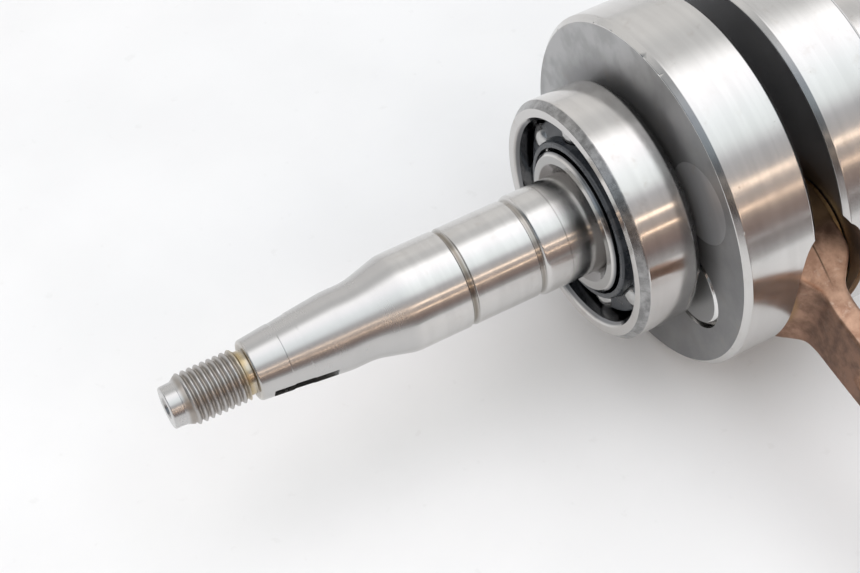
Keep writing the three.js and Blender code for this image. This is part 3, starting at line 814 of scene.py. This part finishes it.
rotor_key = (ROTOR_KEY_X, taper_radius(ROTOR_KEY_X))
drive_key = (DRIVE_KEY_X, GEAR_SEAT[2])
for side_name, side, outline, thread, key in (
    ("left", -1, rotor_outline(), ROTOR_THREAD, rotor_key),
    ("right", 1, drive_outline(), DRIVE_THREAD, drive_key),
):
    node = f"{side_name}_crank_half"
    half = crank_half(node + "_visual", side, outline, thread, key)
    give(half, crank_steel(f"{side_name}_crank_steel", side), "crank", "ground_steel", node)

plug_metal = plug_steel()
for side_name, side in (("left", -1), ("right", 1)):
    for letter, offset in (("a", -PLUG_OFFSET), ("b", PLUG_OFFSET)):
        outer = side * WEB_OUTER_X
        inner = side * (WEB_OUTER_X - PLUG_THICKNESS)
        outline = [
            (outer, 0, 0),
            (outer, PLUG_RADIUS, 0.05),
            (inner, PLUG_RADIUS, 0.6),
            (inner, 0, 0),
        ]
        node = f"{side_name}_web_plug_{letter}"
        disc = lathe(node + "_visual", rounded(outline), SMALL_SEGMENTS, plug_centre(offset))
        finish_normals(disc)
        give(disc, plug_metal, "crank", "plug_steel", node)

# ---------------------------------------------------------------- crankpin and big end


def pin_steel():
    """The crankpin: polished all over but for its two dull end faces."""
    s = Shader("pin_steel", (PIN.y, PIN.z))
    colour, roughness, fine = ground(s, (0.78, 0.775, 0.765), 0.15)
    end_face = s.span(s.facing_x(), 0.9, 0.97)
    colour = s.mix(end_face, colour, (0.27, 0.27, 0.27))
    roughness = s.mix_value(end_face, roughness, 0.3)
    metallic = s.math("SUBTRACT", 1.0, s.both(end_face, 0.4))
    return s.done(brown_film(s, colour, 0.15), roughness, s.bump(fine, 0.0005), metallic)


def crank_pin():
    left = [
        (-WEB_OUTER_X, 0, 0),
        (-WEB_OUTER_X, PIN_RADIUS - 1.65, 0.15),
        (-WEB_OUTER_X + 1.6, PIN_RADIUS, 0.3),
    ]
    outline = rounded(left + mirrored(left))
    pin = lathe("crank_pin_visual", outline, SMALL_SEGMENTS, (PIN.y, PIN.z))
    finish_normals(pin)
    return pin


def ring_outline(node, inner, outer, inner_fillet, outer_fillet):
    """A flat ring as wide as its CAD node."""
    low, high = box_mm(node)
    return rounded([
        (low.x, inner, inner_fillet),
        (low.x, outer, outer_fillet),
        (high.x, outer, outer_fillet),
        (high.x, inner, inner_fillet),
        (low.x, inner, inner_fillet),
    ])


give(crank_pin(), pin_steel(), "crank", "ground_steel", "crank_pin")

bronze_metal = bronze()
for side_name in ("left", "right"):
    node = f"{side_name}_thrust_washer"
    outline = ring_outline(node, PIN_RADIUS + 0.2, WASHER_RADIUS, 0.2, 0.25)
    washer = lathe(node + "_visual", outline, SMALL_SEGMENTS, (PIN.y, PIN.z))
    finish_normals(washer)
    give(washer, bronze_metal, f"{side_name}_washer", "bronze", node)


def needle_cage():
    outline = ring_outline("big_end_cage", *NEEDLE_CAGE, 0.15, 0.2)
    cage = lathe("big_end_cage_visual", outline, SMALL_SEGMENTS, (PIN.y, PIN.z))
    half = Vector((NEEDLE_LENGTH / 2 + 0.2, 2.5, NEEDLE_RADIUS + 0.16))
    signs = [(a, b, c) for a in (-1, 1) for b in (-1, 1) for c in (-1, 1)]
    corners = [Vector((a * half.x, b * half.y, c * half.z)) * MM for a, b, c in signs]
    faces = [(0, 1, 3, 2), (4, 6, 7, 5), (0, 4, 5, 1), (2, 3, 7, 6), (0, 2, 6, 4), (1, 5, 7, 3)]
    outwards = Matrix.Translation((0, NEEDLE_PITCH_RADIUS * MM, 0))
    slots = []
    for k in range(NEEDLE_COUNT):
        slot = mesh_object("slot", corners, faces)
        turn = Matrix.Rotation(2 * math.pi * k / NEEDLE_COUNT, 4, "X")
        slot.data.transform(Matrix.Translation(PIN * MM) @ turn @ outwards)
        point_outwards(slot)
        slots.append(slot)
    cut(cage, [join("slots", slots)])
    finish_normals(cage)
    return cage


give(needle_cage(), bronze_metal, "big_end_bearing", "bronze", "big_end_cage")

ball_metal = ball_steel()
needle_end = [(-NEEDLE_LENGTH / 2, 0, 0), (-NEEDLE_LENGTH / 2, NEEDLE_RADIUS, 0.35)]
needle_outline = rounded(needle_end + mirrored(needle_end))
for k in range(NEEDLE_COUNT):
    y, z = round_the_crank(NEEDLE_PITCH_RADIUS, 2 * math.pi * k / NEEDLE_COUNT)
    node = f"big_end_needle_{k + 1:02d}"
    needle = lathe(node + "_visual", needle_outline, NEEDLE_SEGMENTS, (PIN.y + y, PIN.z + z))
    finish_normals(needle)
    give(needle, ball_metal, "big_end_bearing", "bearing_steel", node)

# ---------------------------------------------------------------- connecting rod


EYE_STOCK = 0.8  # milled off each side of an eye
BEAM_INSET = 2.0  # the beam starts and ends this far from the eyes' centres
BEAM_STEP = 0.75
FORGING_VOXEL = 0.42


def smooth_step(value, low, high):
    t = min(1, max(0, (value - low) / (high - low)))
    return t * t * (3 - 2 * t)


def blend(value, stops):
    """Smoothly follows (place, size) stops."""
    for (a, size_a), (b, size_b) in zip(stops, stops[1:]):
        if value <= b:
            return size_a + (size_b - size_a) * smooth_step(value, a, b)
    return stops[-1][1]


def rod_section(u):
    """The I-section at a distance u from the big end, as (across, thick) points of one quarter turn."""
    end = ROD_LENGTH
    side = blend(u, [(8, 18.0), (30, 10.7), (end - 26, 8.3), (end - 3, 13.6)])
    top = blend(u, [(15, 9.0), (24.5, 3.4), (end - 24, 3.3), (end - 8, 7.8)])
    open_amount = smooth_step(u, 41.5, 44.5) * (1 - smooth_step(u, end - 27, end - 22))
    pocket = blend(u, [(40, 2.4), (56, side - 4.2), (end - 24, side - 3.6)])
    depth = 1.9 * open_amount
    return [
        (side, 0.0),
        (side - 0.1, top * 0.5),
        (side - 0.3, top - 0.55),
        (side - 0.6, top - 0.15),
        (side - 1.2, top),
        (pocket + 0.8, top),
        (pocket + 0.3, top - depth * 0.45),
        (pocket - 0.3, top - depth * 0.9),
        (pocket - 1.2, top - depth),
        (0.0, top - depth),
    ]


def rod_blank():
    """The forging: an I-section beam that swells into its two eyes."""
    stations = np.arange(BEAM_INSET, ROD_LENGTH - BEAM_INSET + 0.1, BEAM_STEP)
    vertices, faces, loops = [], [], []
    for u in stations:
        quarter = rod_section(u)
        upper = quarter + [(-v, x) for v, x in reversed(quarter[:-1])]
        lower = [(v, -x) for v, x in reversed(upper[1:-1])]
        loop = upper + lower
        loops.append(range(len(vertices), len(vertices) + len(loop)))
        vertices += [(x * MM, u * MM, v * MM) for v, x in loop]
    size = len(loops[0])
    for a, b in zip(loops, loops[1:]):
        for k in range(size):
            n = (k + 1) % size
            faces.append((a[k], a[n], b[n], b[k]))
    faces += [tuple(reversed(loops[0])), tuple(loops[-1])]
    beam = mesh_object("beam", vertices, faces)
    point_outwards(beam)
    big = rod_eye(BIG_END_RADIUS, BIG_END_HALF_WIDTH + EYE_STOCK, 0)
    small = rod_eye(SMALL_END_RADIUS, SMALL_END_HALF_WIDTH + EYE_STOCK, ROD_LENGTH)
    return join("connecting_rod_visual", [beam, big, small])


def rod_eye(radius, half_width, along):
    left = [(-half_width, 0, 0), (-half_width, radius - 0.4, 1.2)]
    outline = rounded([*left, (0, radius, 0.3), *mirrored(left)])
    return lathe("eye", outline, RING_SEGMENTS, (along, 0))


def bore_tool(radius, half_width, along, chamfer=0.7):
    reach = half_width + 2
    left = [(-reach, 0), (-reach, radius + chamfer + 2), (-half_width + chamfer, radius)]
    return lathe("bore", left + mirrored(left), RING_SEGMENTS, (along, 0))


def face_tool(side, half_width, radius, along):
    """Mills an eye's side face flat."""
    faces = sorted((side * half_width, side * (half_width + 5)))
    return cylinder("mill", radius + 6, *faces, centre=(along, 0))


def connecting_rod():
    rod = rod_blank()
    grow = rod.modifiers.new("forge", "REMESH")
    grow.mode = "VOXEL"
    grow.voxel_size = FORGING_VOXEL * MM
    soften = rod.modifiers.new("soften", "SMOOTH")
    soften.factor = 0.5
    soften.iterations = 4
    apply_modifiers(rod)
    tools = [
        bore_tool(BIG_END_BORE, BIG_END_HALF_WIDTH, 0),
        bore_tool(SMALL_END_BORE, SMALL_END_HALF_WIDTH, ROD_LENGTH),
    ]
    for side in (-1, 1):
        tools.append(face_tool(side, BIG_END_HALF_WIDTH, BIG_END_RADIUS, 0))
        tools.append(face_tool(side, SMALL_END_HALF_WIDTH, SMALL_END_RADIUS, ROD_LENGTH))
    cut(rod, tools)
    rod.data.transform(Matrix.Translation(PIN * MM) @ Matrix.Rotation(ROD_ANGLE, 4, "X"))
    finish_normals(rod, 38)
    return rod


give(connecting_rod(), copper_forging(), "rod", "copper_plate", "connecting_rod")

# ---------------------------------------------------------------- main bearings


def race(shoulder_radius, steps=20):
    """The round groove that the balls run in, between two shoulders."""
    rise = shoulder_radius - BALL_PITCH_RADIUS
    radius = BALL_RADIUS + RACE_CLEARANCE
    half = math.acos(abs(rise) / radius)
    points = []
    for k in range(steps + 1):
        a = -half + 2 * half * k / steps
        points.append((radius * math.sin(a), BALL_PITCH_RADIUS + math.copysign(radius * math.cos(a), rise)))
    return points


def ball_place(k):
    return round_the_crank(BALL_PITCH_RADIUS, BALL_PHASE + 2 * math.pi * k / BALL_COUNT)


def shifted(points, x):
    return [(p + x, r) for p, r in points]


def outer_ring(name, x):
    half = BEARING_HALF
    shoulder = OUTER_SHOULDER_RADIUS
    left = [
        (-half + 1.3, shoulder, 0),
        (-half + 1.2, shoulder + 0.05, 0.1),
        (-half, shoulder + 1.15, 0.12),
        (-half, BEARING_RADIUS - 1.75, 0.15),
        (-half + 1.9, BEARING_RADIUS - 0.12, 0.35),
        (-half + 2.3, BEARING_RADIUS, 0.2),
    ]
    outside = rounded(left + mirrored(left))
    outline = outside + list(reversed(race(shoulder))) + [outside[0]]
    ring = lathe(name, shifted(outline, x), SHAFT_SEGMENTS)
    finish_normals(ring, 24)
    return ring


def inner_ring(name, x):
    half = BEARING_HALF
    shoulder = INNER_SHOULDER_RADIUS
    bore = SEAT_RADIUS + 0.06
    left = [
        (-half + 2.4, bore, 0),
        (-half + 2.2, bore, 0.2),
        (-half, bore + 2.8, 0.15),
        (-half, shoulder - 0.9, 0.15),
        (-half + 0.9, shoulder, 0.15),
        (-half + 1.0, shoulder, 0),
    ]
    first, last = rounded(left), rounded(mirrored(left))
    outline = first + race(shoulder) + last + [first[0]]
    ring = lathe(name, shifted(outline, x), RING_SEGMENTS)
    finish_normals(ring, 24)
    return ring


CAGE_INNER, CAGE_OUTER = 21.3, 27.3
CAGE_LIP_INNER, CAGE_LIP_OUTER = 20.7, 22.4
CAGE_LIP_X, CAGE_OPEN_X, CAGE_BACK_X = 7.6, 4.4, 7.4  # from the balls' plane


def ball_cage(name, x, side):
    """A snap-in cage: the balls show on the side away from the web, over a narrow lip."""
    outline = [
        (-CAGE_LIP_X, CAGE_LIP_INNER, 0.3),
        (-CAGE_LIP_X, CAGE_LIP_OUTER - 0.4, 0.2),
        (-CAGE_LIP_X + 0.5, CAGE_LIP_OUTER, 0.2),
        (-CAGE_OPEN_X, CAGE_LIP_OUTER + 0.3, 0.3),
        (-CAGE_OPEN_X, CAGE_OUTER, 0.5),
        (CAGE_BACK_X, CAGE_OUTER, 0.8),
        (CAGE_BACK_X, CAGE_INNER, 0.8),
        (-CAGE_OPEN_X, CAGE_INNER, 0.3),
        (-CAGE_LIP_X, CAGE_LIP_INNER, 0.3),
    ]
    if side > 0:
        outline = mirrored(outline)
    cage = lathe(name, shifted(rounded(outline), x), RING_SEGMENTS)
    pockets = []
    for k in range(BALL_COUNT):
        y, z = ball_place(k)
        pockets.append(ball("pocket", BALL_RADIUS + 0.25, (x, y, z), POCKET_SEGMENTS))
    cut(cage, [join("pockets", pockets)])
    finish_normals(cage)
    return cage


cage_plastic = cage_polymer()
for side_name, side in (("left", -1), ("right", 1)):
    x = side * BEARING_X
    node = f"{side_name}_bearing_"
    ring_steel = bearing_steel(f"{side_name}_bearing_steel", side)
    outer = outer_ring(node + "outer_ring_visual", x)
    give(outer, ring_steel, f"{side_name}_outer_ring", "bearing_steel", node + "outer_ring")
    give(inner_ring(node + "inner_ring_visual", x), ring_steel, "crank", "bearing_steel", node + "inner_ring")
    cage = ball_cage(node + "cage_visual", x, side)
    give(cage, cage_plastic, f"{side_name}_ball_set", "cage_polyamide", node + "cage")
    for k in range(BALL_COUNT):
        y, z = ball_place(k)
        one = ball(f"{node}ball_{k + 1}_visual", BALL_RADIUS, (x, y, z))
        finish_normals(one)
        give(one, ball_metal, f"{side_name}_ball_set", "bearing_steel", f"{node}ball_{k + 1}")

# ---------------------------------------------------------------- floor, light and camera


FLOOR_SIZE = 4.0
FLAG_ENDS = (-0.9, 0.7)
FLAG_Y = -0.30
FLAG_HEIGHT = 0.066


def pale_floor():
    signs = ((-1, -1), (1, -1), (1, 1), (-1, 1))
    corners = [(a * FLOOR_SIZE, b * FLOOR_SIZE, FLOOR_Z) for a, b in signs]
    floor = mesh_object("floor", corners, [(0, 1, 2, 3)])
    s = Shader("pale_floor")
    cloud = s.noise(45, detail=4)
    specks = s.span(s.noise(5, detail=3), 0.66, 0.74, 0, 0.10)
    colour = s.mix(s.span(cloud, 0.3, 0.7), (0.82, 0.82, 0.82), (0.85, 0.85, 0.85))
    colour = s.mix(specks, colour, (0.55, 0.54, 0.52))
    floor.data.materials.append(s.done(colour, 0.45, metallic=0.0))


SKY = [  # degrees round the crank axis from +Y towards +Z, and the light from there
    (0, (0.78, 0.78, 0.78)),
    (10, (0.90, 0.89, 0.88)),
    (33, (0.95, 0.94, 0.93)),
    (45, (0.82, 0.82, 0.82)),
    (57, (0.84, 0.84, 0.84)),
    (64, (1.20, 1.20, 1.20)),
    (72, (1.85, 1.84, 1.86)),
    (90, (1.70, 1.70, 1.76)),
    (105, (1.45, 1.52, 1.56)),
    (120, (1.25, 1.32, 1.34)),
    (126, (0.98, 1.00, 1.02)),
    (131, (0.64, 0.64, 0.66)),
    (143, (0.62, 0.59, 0.58)),
    (162, (0.50, 0.41, 0.36)),
    (170, (0.34, 0.26, 0.23)),
    (180, (0.27, 0.21, 0.20)),
]
LAMPS = [  # where, half-width in degrees, and the light added by a long narrow lamp
    (147.6, 1.5, (2.0, 1.5, 1.1)),
    (161.6, 0.55, (3.0, 2.15, 1.5)),
]
LAMP_EDGE = 0.35  # degrees over which a lamp's edge fades
END_SHADE = (0.20, 0.225, 0.25)  # how much of that light is left far to the left and right
END_SHADE_SPAN = (0.62, 0.9)  # the direction's X share where that dimming starts and ends


def sky_ramp(tree, where, stops):
    ramp = tree.nodes.new("ShaderNodeValToRGB")
    tree.links.new(where, ramp.inputs[0])
    while len(ramp.color_ramp.elements) < len(stops):
        ramp.color_ramp.elements.new(0.5)
    for element, (degrees, colour) in zip(ramp.color_ramp.elements, stops):
        element.position = degrees / 180
        element.color = (*colour, 1)
    return ramp.outputs["Color"]


def shade_ends(tree, light, along):
    """Dims the light that comes nearly along the crank's axis."""
    size = new_node(tree, "ShaderNodeMath", operation="ABSOLUTE")
    tree.links.new(along, size.inputs[0])
    reach = new_node(tree, "ShaderNodeMapRange", interpolation_type="SMOOTHSTEP")
    reach.inputs["From Min"].default_value = END_SHADE_SPAN[0]
    reach.inputs["From Max"].default_value = END_SHADE_SPAN[1]
    tree.links.new(size.outputs[0], reach.inputs["Value"])
    shade = new_node(tree, "ShaderNodeMix", data_type="RGBA")
    shade.inputs["A"].default_value = (1, 1, 1, 1)
    shade.inputs["B"].default_value = (*END_SHADE, 1)
    tree.links.new(reach.outputs["Result"], shade.inputs["Factor"])
    dim = new_node(tree, "ShaderNodeVectorMath", operation="MULTIPLY")
    tree.links.new(light, dim.inputs[0])
    tree.links.new(shade.outputs["Result"], dim.inputs[1])
    return dim.outputs[0]


def band_light():
    """A soft sky whose brightness changes round the crank's axis: a broad white ceiling, a dim warm wall
    with two narrow lamps on the near side, and a grey far side. The backdrop itself stays pale."""
    world = bpy.data.worlds.new("studio")
    bpy.context.scene.world = world
    world.use_nodes = True
    tree = world.node_tree
    link = tree.links.new
    place = tree.nodes.new("ShaderNodeTexCoord")
    split = tree.nodes.new("ShaderNodeSeparateXYZ")
    link(place.outputs["Generated"], split.inputs[0])
    angle = new_node(tree, "ShaderNodeMath", operation="ARCTAN2")
    link(split.outputs[2], angle.inputs[0])
    link(split.outputs[1], angle.inputs[1])
    turn = new_node(tree, "ShaderNodeMath", operation="DIVIDE")
    turn.inputs[1].default_value = math.pi
    link(angle.outputs[0], turn.inputs[0])
    light = sky_ramp(tree, turn.outputs[0], SKY)
    black = (0, 0, 0)
    for centre, half, colour in LAMPS:
        start, end = centre - half, centre + half
        stops = [(0, black), (start - LAMP_EDGE, black), (start, colour)]
        stops += [(end, colour), (end + LAMP_EDGE, black), (180, black)]
        add = new_node(tree, "ShaderNodeVectorMath", operation="ADD")
        link(light, add.inputs[0])
        link(sky_ramp(tree, turn.outputs[0], stops), add.inputs[1])
        light = add.outputs[0]
    light = shade_ends(tree, light, split.outputs[0])
    sky = tree.nodes["Background"]
    link(light, sky.inputs["Color"])
    backdrop = tree.nodes.new("ShaderNodeBackground")
    backdrop.inputs["Color"].default_value = (0.9, 0.9, 0.9, 1)
    path = tree.nodes.new("ShaderNodeLightPath")
    choose = tree.nodes.new("ShaderNodeMixShader")
    link(path.outputs["Is Camera Ray"], choose.inputs[0])
    link(sky.outputs[0], choose.inputs[1])
    link(backdrop.outputs[0], choose.inputs[2])
    link(choose.outputs[0], tree.nodes["World Output"].inputs["Surface"])


def dark_flag():
    """A low card beside the table, dark above and paler towards its foot, that only reflections show."""
    low, high = FLOOR_Z, FLOOR_Z + FLAG_HEIGHT
    left, right = FLAG_ENDS
    corners = [(left, FLAG_Y, low), (right, FLAG_Y, low), (right, FLAG_Y, high), (left, FLAG_Y, high)]
    card = mesh_object("flag", corners, [(0, 1, 2, 3)])
    card.visible_camera = False
    card.visible_diffuse = False
    card.visible_shadow = False
    s = Shader("flag")
    glow = s.node("ShaderNodeEmission")
    rise = s.span(s.z, low, high)
    s.feed(glow.inputs["Color"], s.mix(rise, (0.50, 0.49, 0.49), (0.28, 0.24, 0.235)))
    s.feed(s.tree.nodes["Material Output"].inputs["Surface"], glow.outputs[0])
    card.data.materials.append(s.material)


def fill_light():
    """A broad soft light from the camera's side that opens the shadows on the floor."""
    lamp = bpy.data.lights.new("fill", "AREA")
    lamp.shape = "DISK"
    lamp.size = 1.2
    lamp.energy = 3.6
    thing = bpy.data.objects.new("fill", lamp)
    place = Vector((0.2, -0.9, 0.55))
    aim = Vector((0.03, -0.08, FLOOR_Z)) - place
    thing.matrix_world = Matrix.Translation(place) @ aim.to_track_quat("-Z", "Y").to_matrix().to_4x4()
    thing.visible_glossy = False
    thing.visible_camera = False
    bpy.context.scene.collection.objects.link(thing)


def camera():
    """A three-quarter view from above the rotor end."""
    place = Vector((-0.2196, -0.2599, 0.3567))
    right = Vector((0.87215, -0.48793, -0.03583))
    up = Vector((0.39808, 0.66515, 0.63174))
    back = right.cross(up)
    data = bpy.data.cameras.new("camera")
    data.sensor_width = 36
    data.lens = 75.35
    thing = bpy.data.objects.new("camera", data)
    turn = Matrix((right, up, back)).transposed().to_4x4()
    thing.matrix_world = Matrix.Translation(place) @ turn
    bpy.context.scene.collection.objects.link(thing)
    bpy.context.scene.camera = thing


pale_floor()
band_light()
dark_flag()
fill_light()
camera()
bpy.context.scene.view_settings.view_transform = "Standard"
